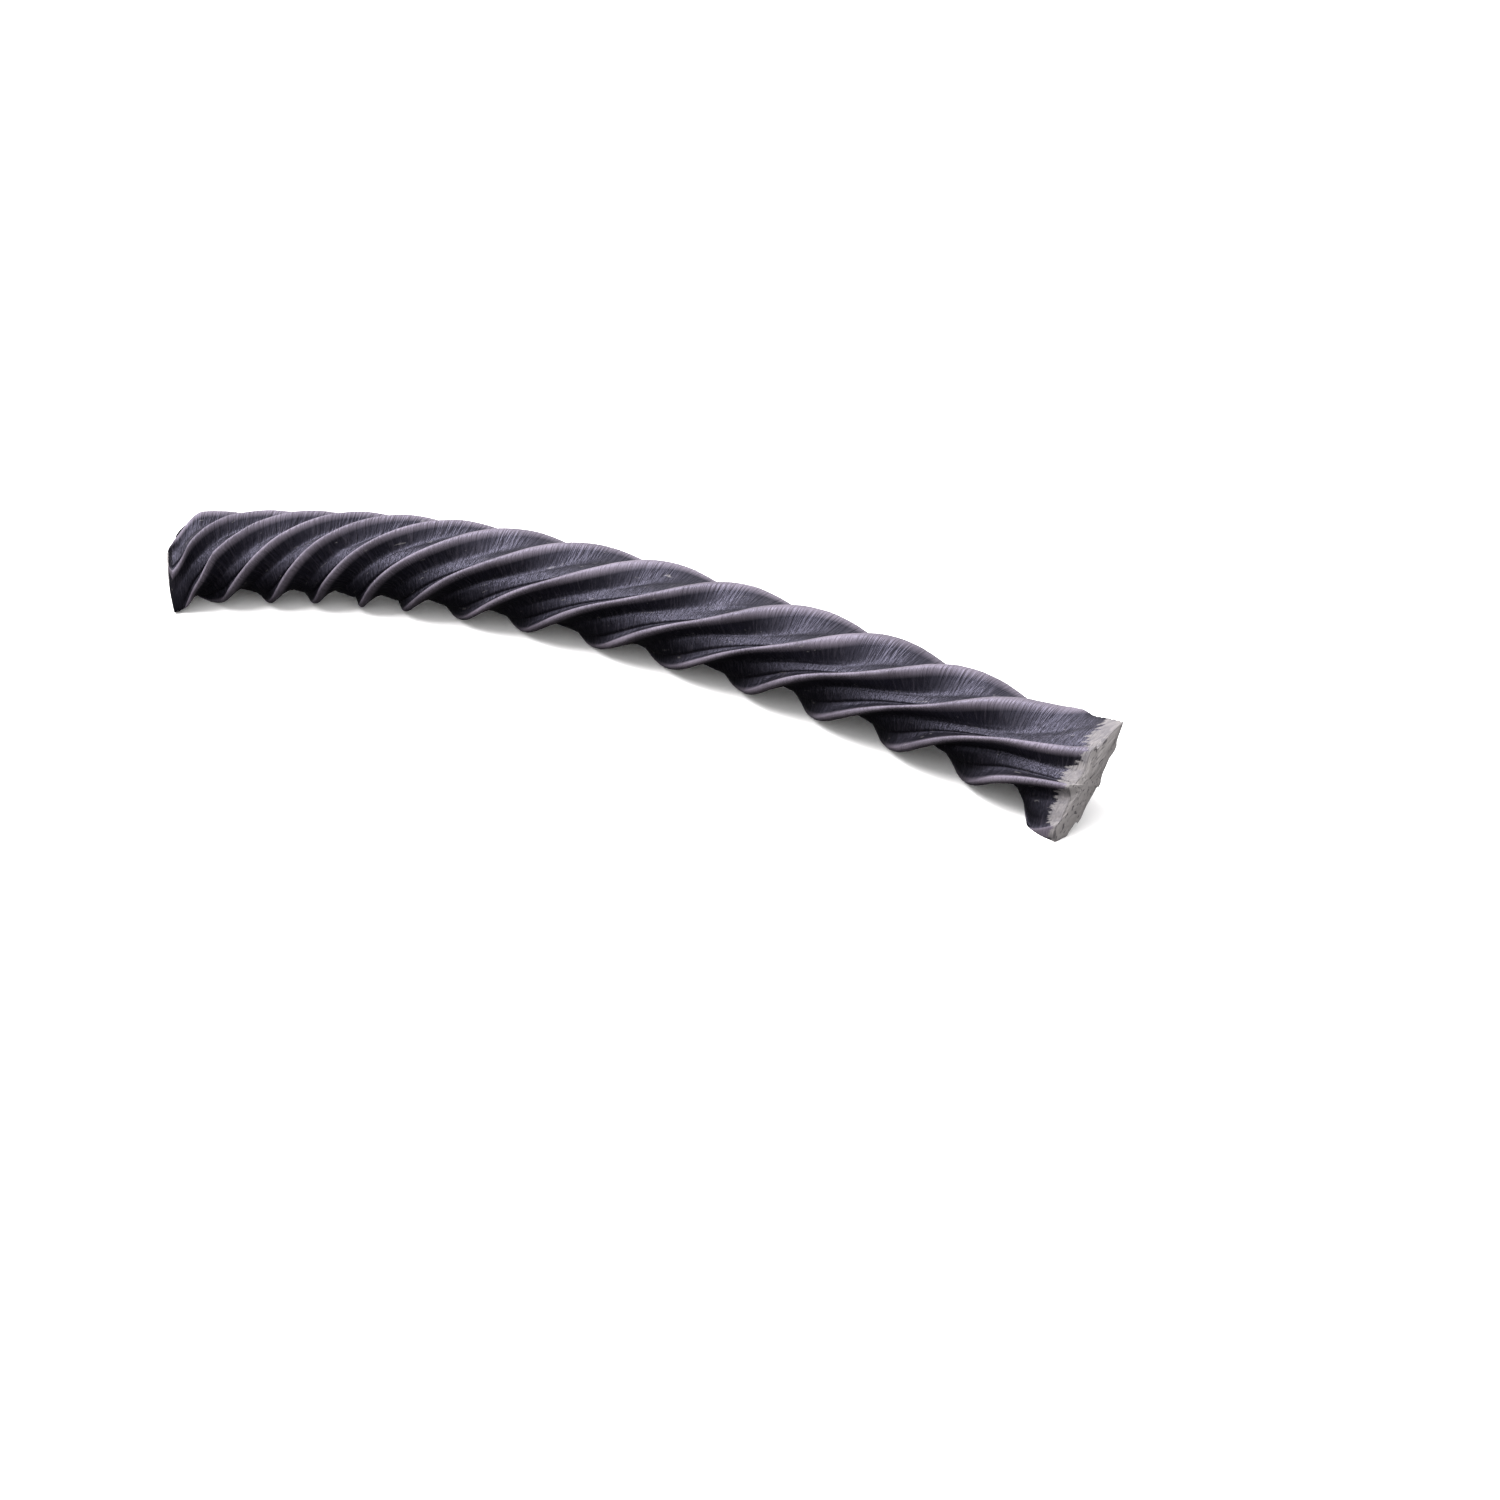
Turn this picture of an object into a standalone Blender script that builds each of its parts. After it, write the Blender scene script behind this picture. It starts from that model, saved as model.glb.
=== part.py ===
"""One black licorice twist: a soft bar with six thin fins, twisted left-handed and cut off at both ends.

Modelled in metres with +Z up. The twist lies on the ground in the gentle bend that it was put down in.
The origin is on the ground under the middle of its box, and the long way of the box is along X.
Each place along the bar is a distance in millimetres from the left end. Each angle round the bar is
measured from straight up, towards the front.
"""

import math

import bmesh
import bpy
import numpy as np

MM = 0.001
UP = np.array([0.0, 0.0, 1.0])

# Whole bar, in millimetres and degrees.
LENGTH = 168.8
FINS = 6
HEADING = ((0, -2), (15, 0), (35, 11), (55, 20.5), (75, 26), (95, 32), (115, 36), (138, 39.5), (169, 48))
CREST_RADIUS = ((0, 7.6), (25, 7.75), (60, 8.3), (110, 8.5), (169, 8.6))
RIDGE_SPACING = ((0, 9.4), (12, 8.2), (36, 7.6), (48, 10.9), (60, 12.4), (75, 13.8), (120, 14.9), (169, 15.2))
FIRST_RIDGE_ANGLE = 81.0
GROUND_SINK = 0.55
HEADING_SPAN = 10.0

# The broad side faces up and front. Each section leans back along the bar there, which bows the fins,
# and the bar is a little flat, which crowds the fins together on its two broad sides.
BROAD_ANGLE = 57.0
LEAN = ((0, 0.0), (12, 5.0), (30, 5.4), (60, 2.4), (90, 1.8), (150, 1.5), (169, 0.0))
CROWDING = ((0, 0.0), (35, 0.0), (60, 7.0), (120, 11.0), (169, 11.0))
FLATTENING = ((0, 0.0), (35, 0.02), (70, 0.08), (169, 0.08))

# Over the top, where it faces up and back, the fins turn further. Towards the right end they get deeper.
TOP_ANGLE = -32.0
TOP_TURN = ((0, 0.0), (40, 0.0), (55, 14.0), (75, 19.0), (100, 26.0), (125, 31.0), (150, 26.0), (169, 10.0))
DEEPENING = ((0, 0.55), (8, 1.0), (90, 1.0), (120, 1.35), (169, 1.55))

# Section of a fin, in degrees round the bar from the middle of its crest. The lower flank is long and the
# upper one steep, with a crease at its foot. Depths and rises are shares of the crest radius.
CREST_HALF = 4.2
LOWER_END = 23.0
UPPER_END = 9.5
FLANK_POWER = 2.2
FIN_DEPTH = 0.27
VALLEY_RISE = 0.11
FIN_TILT = 2.5
FIN_DEPTH_CHANGE = 0.09
FIN_WIDTH_CHANGE = 0.14
FIN_SHIFT = 2.2

# The crease's middle and half width are in degrees too. Its depth, and the rounding of a crest, are in
# millimetres.
CREASE_MIDDLE = -11.0
CREASE_HALF = 3.0
CREASE_DEPTH = 0.35
CREST_ROUND = 0.28

# Slow changes along the fins: a long wave and a shorter one, started apart on each fin.
CHANGE_WAVELENGTH = 57.0
LONG_WAVE_SHARE = 0.6
SHORT_WAVES_PER_LONG = 1.9
FIN_PHASE = 2.399
SEED_PHASE = 1.7
SHORT_PHASE = 2.1

# Ends: where the cutter squeezed the bar flat before it parted. The fills say how far the valleys close up,
# and the relief how much of them is left on the cut's edge.
RIGHT_SQUEEZE = {
    "reach": 14.0,
    "tip_angle": 141.0,
    "half_width": 12.2,
    "upper_thickness": 4.2,
    "lower_thickness": 3.4,
    "corner_drop": 1.0,
    "rise": -0.5,
    "bulge": 0.5,
    "corner_fill": 0.75,
    "lower_fill": 0.7,
    "relief": 0.45,
}
LEFT_SQUEEZE = {
    "reach": 5.5,
    "tip_angle": 122.0,
    "half_width": 8.6,
    "upper_thickness": 6.2,
    "lower_thickness": 4.4,
    "corner_drop": 1.2,
    "rise": -1.2,
    "bulge": 1.2,
    "corner_fill": 0.9,
    "lower_fill": 0.3,
    "relief": 0.8,
}

# The left end's upper corner is rounded off over its last millimetres, by this share of its width.
SHOULDER_REACH = 6.4
SHOULDER_DROP = 0.55
SHOULDER_POWER = 4.0

# Mesh: points on each fin in degrees from its crest, and the turn of the fins from one ring to the next.
FIN_POINTS = (-33.0, -26.0, -19.0, -14.0, -11.0, -8.0, -4.2, 0.0, 4.2, 6.5, 9.5, 14.0, 20.0)
FIN_POINTS_MIDDLE = -3.5
RING_TURN = 16.0
PATH_STEP = 0.25
CAP_RING = 0.55
SHARP_ANGLE = 50.0


def at(table, place):
    """A value that changes evenly from one named place along the bar to the next."""
    places, values = zip(*table)
    return np.interp(place, places, values)


def smooth_step(share):
    share = np.clip(share, 0.0, 1.0)
    return share * share * (3.0 - 2.0 * share)


def centre_line():
    """Places along the bar, the axis points over the ground, the headings and the turns of the fins."""
    places = np.arange(0.0, LENGTH + PATH_STEP, PATH_STEP)
    middles = places[:-1] + PATH_STEP / 2
    side = round(HEADING_SPAN / 2 / PATH_STEP)
    window = np.ones(2 * side + 1) / (2 * side + 1)
    heading = np.radians(at(HEADING, places))
    padded = np.pad(heading, side, mode="reflect", reflect_type="odd")
    heading = np.convolve(padded, window, mode="valid")
    step_heading = np.interp(middles, places, heading)
    x = np.concatenate([[0.0], np.cumsum(np.cos(step_heading) * PATH_STEP)])
    y = np.concatenate([[0.0], np.cumsum(-np.sin(step_heading) * PATH_STEP)])
    z = at(CREST_RADIUS, places) - GROUND_SINK
    turn_steps = 360.0 / FINS * PATH_STEP / at(RIDGE_SPACING, middles)
    turns = np.concatenate([[0.0], np.cumsum(turn_steps)])
    return places, np.column_stack([x, y, z]), heading, turns


def fin_change(fin, place, seed):
    """A slow wave between -1 and 1 along one fin, so that no two fins are alike."""
    phase = FIN_PHASE * fin + SEED_PHASE * seed
    wave = 2.0 * math.pi * place / CHANGE_WAVELENGTH
    long_wave = np.sin(wave + phase)
    short_wave = np.sin(SHORT_WAVES_PER_LONG * wave + SHORT_PHASE * phase)
    return LONG_WAVE_SHARE * long_wave + (1.0 - LONG_WAVE_SHARE) * short_wave


def fin_share(offset, width):
    """1 on the crest of a fin and 0 in the valley, by the degrees from the middle of the crest."""
    flank_end = UPPER_END if offset < 0.0 else LOWER_END
    flank = (abs(offset) / width - CREST_HALF) / (flank_end - CREST_HALF)
    return (1.0 - min(max(flank, 0.0), 1.0)) ** FLANK_POWER


def section(place, radius):
    """Angles from the first fin, and radii as shares of the crest radius, for one ring of points."""
    pitch = 360.0 / FINS
    valley_width = pitch - LOWER_END - UPPER_END
    angles = []
    radii = []
    for fin in range(FINS):
        depth = FIN_DEPTH * at(DEEPENING, place) * (1.0 + FIN_DEPTH_CHANGE * fin_change(fin, place, 1))
        width = 1.0 + FIN_WIDTH_CHANGE * fin_change(fin, place, 2)
        shift = FIN_SHIFT * fin_change(fin, place, 3)
        for offset in FIN_POINTS:
            crest = fin_share(offset, width)
            valley_run = min(max((offset % pitch - LOWER_END) / valley_width, 0.0), 1.0)
            crease = 1.0 - smooth_step(abs(offset - CREASE_MIDDLE) / CREASE_HALF)
            rounding = min(abs(offset) / CREST_HALF, 1.0) ** 2
            nearness = 1.0 - 2.0 * abs(offset - FIN_POINTS_MIDDLE) / pitch
            lowered = crease * CREASE_DEPTH + rounding * CREST_ROUND
            angles.append(fin * pitch + offset + shift * nearness - FIN_TILT * crest)
            radii.append(1.0 - (depth - VALLEY_RISE * valley_run) * (1.0 - crest) - lowered / radius)
    return np.array(angles), np.array(radii)


def shoulder(place):
    """How far the left end's upper corner is drawn in at one place."""
    nearness = max(1.0 - place / SHOULDER_REACH, 0.0)
    return SHOULDER_DROP * (1.0 - math.sqrt(1.0 - nearness**SHOULDER_POWER))


def squeezed(angles, radii, radius, squeeze, amount, drawn_in):
    """A ring of points as (up, front) offsets, pressed towards a lens whose corners lie on the cut."""
    turned = np.radians(angles - squeeze["tip_angle"])
    around = (turned + math.pi) % (2.0 * math.pi) - math.pi
    fill = squeeze["corner_fill"] * np.cos(around) ** 4
    fill = np.where(around < 0.0, fill, np.maximum(fill, squeeze["lower_fill"] * np.sin(around)))
    radii = 1.0 - (1.0 - radii) * (1.0 - fill * amount)
    round_wide = radius * radii * np.cos(around)
    round_thick = radius * radii * np.sin(around)
    run = 1.0 - 2.0 * np.abs(around) / math.pi
    relief = (1.0 - radii) * squeeze["relief"]
    upper = -squeeze["upper_thickness"] + relief * radius
    lower = squeeze["lower_thickness"] - relief * radius
    side = np.where(around < 0.0, upper, lower)
    flat_wide = squeeze["half_width"] * (1.0 - relief) * run
    flat_thick = side * (1.0 - run**2) + squeeze["corner_drop"] * run**2
    wide = round_wide + (flat_wide - round_wide) * amount
    thick = round_thick + (flat_thick - round_thick) * amount
    wide = np.where(wide < 0.0, wide * (1.0 - drawn_in), wide)
    tip = math.radians(squeeze["tip_angle"])
    up = wide * math.cos(tip) - thick * math.sin(tip) + squeeze["rise"] * amount
    front = wide * math.sin(tip) + thick * math.cos(tip)
    return up, front


def ring(place, line):
    """The ring of points round the bar at one place, in millimetres, and the middle of that ring."""
    places, axis, headings, turns = line
    centre = np.array([np.interp(place, places, axis[:, column]) for column in range(3)])
    heading = np.interp(place, places, headings)
    turn = np.interp(place, places, turns)
    along = np.array([math.cos(heading), -math.sin(heading), 0.0])
    front_way = np.cross(along, UP)
    radius = at(CREST_RADIUS, place)
    angles, radii = section(place, radius)
    angles = angles + FIRST_RIDGE_ANGLE - turn
    angles = angles - at(CROWDING, place) * np.sin(2.0 * np.radians(angles - BROAD_ANGLE))
    topness = np.maximum(np.cos(np.radians(angles - TOP_ANGLE)), 0.0)
    angles = angles - at(TOP_TURN, place) * topness**2
    left = smooth_step(1.0 - place / LEFT_SQUEEZE["reach"])
    right = smooth_step(1.0 - (LENGTH - place) / RIGHT_SQUEEZE["reach"])
    squeeze, amount = (LEFT_SQUEEZE, left) if place < LENGTH / 2 else (RIGHT_SQUEEZE, right)
    up, front = squeezed(angles, radii, radius, squeeze, amount, shoulder(place))
    broad = math.radians(BROAD_ANGLE)
    outward = up * math.cos(broad) + front * math.sin(broad)
    up = up - at(FLATTENING, place) * outward * math.cos(broad)
    front = front - at(FLATTENING, place) * outward * math.sin(broad)
    back = at(LEAN, place) * outward / radius
    points = centre + np.outer(up, UP) + np.outer(front, front_way) - np.outer(back, along)
    points[:, 2] = np.maximum(points[:, 2], 0.0)
    return points, points.mean(axis=0), along


def ring_places(line):
    """Places for the rings, an equal turn of the fins apart."""
    places, _, _, turns = line
    count = round(turns[-1] / RING_TURN)
    return np.interp(np.linspace(0.0, turns[-1], count + 1), turns, places)


def cap_points(outer, middle, outward, bulge):
    """The inner ring and the middle point of a cut face, which swells a little outwards."""
    inner = middle + (outer - middle) * CAP_RING + outward * bulge * (1.0 - CAP_RING**2)
    return inner, middle + outward * bulge


def bar_rings():
    """Every ring of the closed skin, from the left cut face to the right one, and its two end points."""
    line = centre_line()
    rings = [ring(place, line) for place in ring_places(line)]
    first, first_middle, first_along = rings[0]
    last, last_middle, last_along = rings[-1]
    left_inner, left_point = cap_points(first, first_middle, -first_along, LEFT_SQUEEZE["bulge"])
    right_inner, right_point = cap_points(last, last_middle, last_along, RIGHT_SQUEEZE["bulge"])
    skin = [left_inner] + [points for points, _, _ in rings] + [right_inner]
    return skin, left_point, right_point


def licorice_material():
    """Satin black candy with a cool grey sheen."""
    material = bpy.data.materials.new("licorice")
    material.use_nodes = True
    shader = material.node_tree.nodes["Principled BSDF"]
    shader.inputs["Base Color"].default_value = (0.010, 0.010, 0.014, 1.0)
    shader.inputs["Roughness"].default_value = 0.42
    shader.inputs["Metallic"].default_value = 0.0
    return material


def make_twist(collection):
    """Lofts the skin through its rings, closes both cut faces and centres the bar on the origin."""
    skin, left_point, right_point = bar_rings()
    every = np.vstack(skin + [left_point, right_point])
    low = every.min(axis=0)
    high = every.max(axis=0)
    shift = np.array([-(low[0] + high[0]) / 2.0, -(low[1] + high[1]) / 2.0, -low[2]])
    form = bmesh.new()
    loops = [[form.verts.new((point + shift) * MM) for point in points] for points in skin]
    left_vertex = form.verts.new((left_point + shift) * MM)
    right_vertex = form.verts.new((right_point + shift) * MM)
    count = len(loops[0])
    for near, far in zip(loops, loops[1:]):
        for index in range(count):
            after = (index + 1) % count
            form.faces.new((near[index], near[after], far[after], far[index]))
    for index in range(count):
        after = (index + 1) % count
        form.faces.new((left_vertex, loops[0][after], loops[0][index]))
        form.faces.new((right_vertex, loops[-1][index], loops[-1][after]))
    bmesh.ops.recalc_face_normals(form, faces=form.faces)
    bmesh.ops.triangulate(form, faces=form.faces)
    mesh = bpy.data.meshes.new("twist")
    form.to_mesh(mesh)
    form.free()
    mesh.shade_smooth()
    mesh.set_sharp_from_angle(angle=math.radians(SHARP_ANGLE))
    twist = bpy.data.objects.new("twist", mesh)
    twist.data.materials.append(licorice_material())
    collection.objects.link(twist)
    return twist


def main():
    for old in list(bpy.data.objects):
        bpy.data.objects.remove(old)
    collection = bpy.data.collections.new("licorice_twist")
    bpy.context.scene.collection.children.link(collection)
    make_twist(collection)


main()
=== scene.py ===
"""A black licorice twist: its finned skin, its two cut faces, and the table and light that it is seen in.

The tables below are in millimetres and degrees. Each place along the bar is counted from its left end, and
each angle round the bar from straight up, towards the front. Blender's own values are in metres.
"""

import math

import bmesh
import bpy
import numpy as np
from bpy.props import FloatProperty, FloatVectorProperty, IntProperty, PointerProperty
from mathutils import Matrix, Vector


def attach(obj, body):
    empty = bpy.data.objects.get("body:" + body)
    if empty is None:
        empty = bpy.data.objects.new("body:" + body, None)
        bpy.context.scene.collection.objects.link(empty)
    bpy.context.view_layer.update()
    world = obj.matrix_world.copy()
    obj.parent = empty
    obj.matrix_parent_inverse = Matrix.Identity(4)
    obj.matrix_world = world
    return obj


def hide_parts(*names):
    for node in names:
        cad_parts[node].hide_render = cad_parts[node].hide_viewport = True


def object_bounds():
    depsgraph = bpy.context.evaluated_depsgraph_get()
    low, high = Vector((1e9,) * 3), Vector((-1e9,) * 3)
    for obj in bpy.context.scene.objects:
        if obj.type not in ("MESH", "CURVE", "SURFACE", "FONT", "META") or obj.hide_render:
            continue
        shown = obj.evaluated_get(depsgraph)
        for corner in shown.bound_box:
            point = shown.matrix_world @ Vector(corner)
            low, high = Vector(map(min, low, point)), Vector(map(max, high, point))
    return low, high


bl_info = {
    "name": "Licorice Twist",
    "version": (1, 0, 0),
    "blender": (4, 5, 0),
    "location": "View3D > Sidebar > Licorice",
    "description": "Dresses a black licorice twist: finned skin, cut faces, table and light",
    "category": "Object",
}

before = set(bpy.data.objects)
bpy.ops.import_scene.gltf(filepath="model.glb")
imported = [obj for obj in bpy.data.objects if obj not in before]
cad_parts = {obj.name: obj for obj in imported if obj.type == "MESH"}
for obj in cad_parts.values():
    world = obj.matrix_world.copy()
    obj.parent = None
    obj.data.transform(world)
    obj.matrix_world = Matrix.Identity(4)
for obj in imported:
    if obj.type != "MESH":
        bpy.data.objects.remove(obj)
SOLID_LOW, SOLID_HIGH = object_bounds()

MM = 0.001

# The bar along its length: where it points, how thick it is and how tightly its fins are twisted.
LENGTH = 168.8
FINS = 6
HEADING = ((0, -2), (15, 0), (35, 11), (55, 20.5), (75, 26), (95, 32), (115, 36), (138, 39.5), (169, 48))
CREST_RADIUS = ((0, 7.6), (25, 7.75), (60, 8.3), (110, 8.5), (169, 8.6))
RIDGE_SPACING = ((0, 9.4), (12, 8.2), (36, 7.6), (48, 10.9), (60, 12.4), (75, 13.8), (120, 14.9), (169, 15.2))
FIRST_RIDGE_ANGLE = 81.0
GROUND_SINK = 0.55
HEADING_SPAN = 10.0

# The broad side faces up and front. Each section leans back along the bar there, which bows the fins,
# and the bar is a little flat, which crowds the fins together on its two broad sides.
BROAD_ANGLE = 57.0
LEAN = ((0, 0.0), (12, 5.0), (30, 5.4), (60, 2.4), (90, 1.8), (150, 1.5), (169, 0.0))
CROWDING = ((0, 0.0), (35, 0.0), (60, 7.0), (120, 11.0), (169, 11.0))
FLATTENING = ((0, 0.0), (35, 0.02), (70, 0.08), (169, 0.08))

# Over the top, where it faces up and back, the fins turn further. Towards the right end they get deeper.
TOP_ANGLE = -32.0
TOP_TURN = ((0, 0.0), (40, 0.0), (55, 14.0), (75, 19.0), (100, 26.0), (125, 31.0), (150, 26.0), (169, 10.0))
DEEPENING = ((0, 0.55), (8, 1.0), (90, 1.0), (120, 1.35), (169, 1.55))

# Slow changes along the fins: a long wave and a shorter one, started apart on each fin. They change the
# depth and width of a fin by these shares, and shift it by up to this many degrees.
FIN_DEPTH_CHANGE = 0.09
FIN_WIDTH_CHANGE = 0.14
FIN_SHIFT = 2.2
CHANGE_WAVELENGTH = 57.0
LONG_WAVE_SHARE = 0.6
SHORT_WAVES_PER_LONG = 1.9
FIN_PHASE = 2.399
SEED_PHASE = 1.7
SHORT_PHASE = 2.1

# Ends: where the cutter squeezed the bar flat before it parted. The fills say how far the valleys close up,
# and the relief how much of them is left on the cut's edge.
RIGHT_SQUEEZE = {
    "reach": 14.0,
    "tip_angle": 141.0,
    "half_width": 12.2,
    "upper_thickness": 4.2,
    "lower_thickness": 3.4,
    "corner_drop": 1.0,
    "rise": -0.5,
    "bulge": 0.5,
    "corner_fill": 0.75,
    "lower_fill": 0.7,
    "relief": 0.45,
}
LEFT_SQUEEZE = {
    "reach": 5.5,
    "tip_angle": 122.0,
    "half_width": 8.6,
    "upper_thickness": 6.2,
    "lower_thickness": 4.4,
    "corner_drop": 1.2,
    "rise": -1.2,
    "bulge": 1.2,
    "corner_fill": 0.9,
    "lower_fill": 0.3,
    "relief": 0.8,
}

# The left end's upper corner is rounded off over its last millimetres, by this share of its width.
SHOULDER_REACH = 6.4
SHOULDER_DROP = 0.55
SHOULDER_POWER = 4.0

# How quickly a flank falls away from its crest, and how the valleys fill up towards a squeezed corner.
FLANK_POWER = 2.2
CORNER_FILL_POWER = 4.0

# Unevenness of the skin: how many changes a millimetre has on the crests, and along the whole bar.
NICK_SCALE = 0.45
LUMP_SCALE = 0.11

# The skin's mesh: rings along the bar, points crowded near the crests, and the shrinking rings that close
# a cut face.
PATH_STEP = 0.25
RING_STEP = 0.352
POINTS_PER_FIN = 32
DENSE_SHARE = 0.6
DENSE_OFFSET = -3.5
CAP_RINGS = (0.985, 0.955, 0.9, 0.8, 0.66, 0.48, 0.26, 0.0)
POLE_MERGE = 1e-6

# Where the skin turns into the pale cut. On the left only the middle of the face is pale. On the right the
# pale colour reaches over the skin, further in the valleys than on the crests.
LEFT_CUT_EDGE = 0.6
CUT_FADE = 0.03
FACE_FADE = 0.03
RIGHT_CUT_REACH = 2.3
RIGHT_CUT_CREST_SHARE = 0.35
RIGHT_CUT_FADE = 2.4

# Patterns of the material, in changes a millimetre: a stretch has two across the bar and one along it, and a
# scale is the same every way. The bump heights are in metres.
MARK_STRETCH = (0.45, 0.45, 3.4)
DRAW_STRETCH = (2.6, 2.6, 0.08)
RAGGED_STRETCH = (1.3, 1.3, 0.35)
GRAIN_SCALE = 5.0
PATCH_SCALE = 0.16
TORN_SCALE = 0.9
PIT_SCALE = 1.3
MARK_HEIGHT = 0.0004
DRAW_HEIGHT = 0.00003
GRAIN_HEIGHT = 0.00002
SPECULAR_TINT = (0.76, 0.72, 1.0, 1.0)

# The room: dark under the table's level, and white from this height on. The table is matte.
ROOM_DARK_LEVEL = -0.05
ROOM_WHITE_LEVEL = 0.5
ROOM_DARK = 0.02

TABLE_ROUGHNESS = 0.9

# Where the camera stood, and how it looked at the bar.
CAMERA_PLACE = (0.0193, -0.7769, 0.4762)
CAMERA_ELEVATION = 32.0
CAMERA_LENS = 136.05
CAMERA_SENSOR = 36.0
CAMERA_REACH = 20.0


def at(table, place):
    """A value that changes evenly from one named place along the bar to the next."""
    places, values = zip(*table)
    return np.interp(place, places, values)


def smooth_step(share):
    share = np.clip(share, 0.0, 1.0)
    return share * share * (3.0 - 2.0 * share)


class Rule:
    """A number worked out at each point of the skin. Plain arithmetic on it adds nodes to the tree."""

    def __init__(self, tree, socket):
        self.tree = tree
        self.socket = socket

    def node(self, operation, *others):
        node = self.tree.nodes.new("ShaderNodeMath")
        node.operation = operation
        for place, value in enumerate((self, *others)):
            if isinstance(value, Rule):
                self.tree.links.new(value.socket, node.inputs[place])
            else:
                node.inputs[place].default_value = value
        return Rule(self.tree, node.outputs[0])

    def __add__(self, other):
        return self.node("ADD", other)

    def __radd__(self, other):
        return self.node("ADD", other)

    def __sub__(self, other):
        return self.node("SUBTRACT", other)

    def __rsub__(self, other):
        return (-self).node("ADD", other)

    def __mul__(self, other):
        return self.node("MULTIPLY", other)

    def __rmul__(self, other):
        return self.node("MULTIPLY", other)

    def __truediv__(self, other):
        return self.node("DIVIDE", other)

    def __rtruediv__(self, other):
        return self.node("POWER", -1.0) * other

    def __neg__(self):
        return self.node("MULTIPLY", -1.0)

    def absolute(self):
        return self.node("ABSOLUTE")

    def power(self, exponent):
        return self.node("POWER", exponent)

    def floor(self):
        return self.node("FLOOR")

    def sine(self):
        return self.node("SINE")

    def cosine(self):
        return self.node("COSINE")

    def wrapped(self, low, high):
        return self.node("WRAP", high, low)

    def below(self, other):
        return self.node("LESS_THAN", other)

    def least(self, other):
        return self.node("MINIMUM", other)

    def most(self, other):
        return self.node("MAXIMUM", other)

    def radians(self):
        return self.node("RADIANS")

    def hump(self, middle, half_width):
        """1 at the middle, fading smoothly to 0 at the half width on both sides."""
        return 1.0 - ((self - middle).absolute() / half_width).smooth()

    def smooth(self):
        share = self.most(0.0).least(1.0)
        return share * share * (3.0 - 2.0 * share)

    def mixed(self, other, share):
        return self + (other - self) * share


class SkinTree:
    """The node tree that turns the bar's path into its finned skin."""

    def __init__(self, name):
        self.tree = bpy.data.node_groups.new(name, "GeometryNodeTree")
        self.inlet = self.tree.nodes.new("NodeGroupInput")
        self.outlet = self.tree.nodes.new("NodeGroupOutput")
        self.tree.interface.new_socket(name="Path", in_out="INPUT", socket_type="NodeSocketGeometry")
        self.tree.interface.new_socket(name="Skin", in_out="OUTPUT", socket_type="NodeSocketGeometry")
        self.identifiers = {}

    def setting(self, name, kind="NodeSocketFloat"):
        """A named input of the tree."""
        made = self.tree.interface.new_socket(name=name, in_out="INPUT", socket_type=kind)
        self.identifiers[name] = made.identifier
        return Rule(self.tree, self.inlet.outputs[name])

    def node(self, kind, **values):
        node = self.tree.nodes.new(kind)
        for key, value in values.items():
            setattr(node, key, value)
        return node

    def link(self, source, target):
        self.tree.links.new(source, target)

    def named(self, name, kind="FLOAT"):
        """The value of a named attribute at each point."""
        node = self.node("GeometryNodeInputNamedAttribute", data_type=kind)
        node.inputs["Name"].default_value = name
        return Rule(self.tree, node.outputs[0])

    def stored(self, geometry, name, value, kind="FLOAT"):
        """Keeps a value at each point under a name, and hands the geometry on."""
        node = self.node("GeometryNodeStoreNamedAttribute", data_type=kind, domain="POINT")
        node.inputs["Name"].default_value = name
        self.link(geometry, node.inputs["Geometry"])
        self.link(value, node.inputs["Value"])
        return node.outputs["Geometry"]

    def vector(self, x, y, z):
        node = self.node("ShaderNodeCombineXYZ")
        for place, value in enumerate((x, y, z)):
            self.link(value.socket, node.inputs[place])
        return node.outputs[0]

    def noise(self, vector, scale, detail=2.0):
        """Smooth random change between -1 and 1, the same on each run."""
        node = self.node("ShaderNodeTexNoise", noise_dimensions="3D", normalize=True)
        self.link(vector, node.inputs["Vector"])
        node.inputs["Scale"].default_value = scale
        node.inputs["Detail"].default_value = detail
        return Rule(self.tree, node.outputs[0]) * 2.0 - 1.0


def centre_line():
    """Places along the bar, the axis points over the ground, the headings and the turns of the fins."""
    places = np.arange(0.0, LENGTH + PATH_STEP, PATH_STEP)
    middles = places[:-1] + PATH_STEP / 2
    side = round(HEADING_SPAN / 2 / PATH_STEP)
    window = np.ones(2 * side + 1) / (2 * side + 1)
    heading = np.radians(at(HEADING, places))
    padded = np.pad(heading, side, mode="reflect", reflect_type="odd")
    heading = np.convolve(padded, window, mode="valid")
    step_heading = np.interp(middles, places, heading)
    x = np.concatenate([[0.0], np.cumsum(np.cos(step_heading) * PATH_STEP)])
    y = np.concatenate([[0.0], np.cumsum(-np.sin(step_heading) * PATH_STEP)])
    z = at(CREST_RADIUS, places) - GROUND_SINK
    turn_steps = 360.0 / FINS * PATH_STEP / at(RIDGE_SPACING, middles)
    turns = np.concatenate([[0.0], np.cumsum(turn_steps)])
    return places, np.column_stack([x, y, z]), heading, turns


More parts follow.
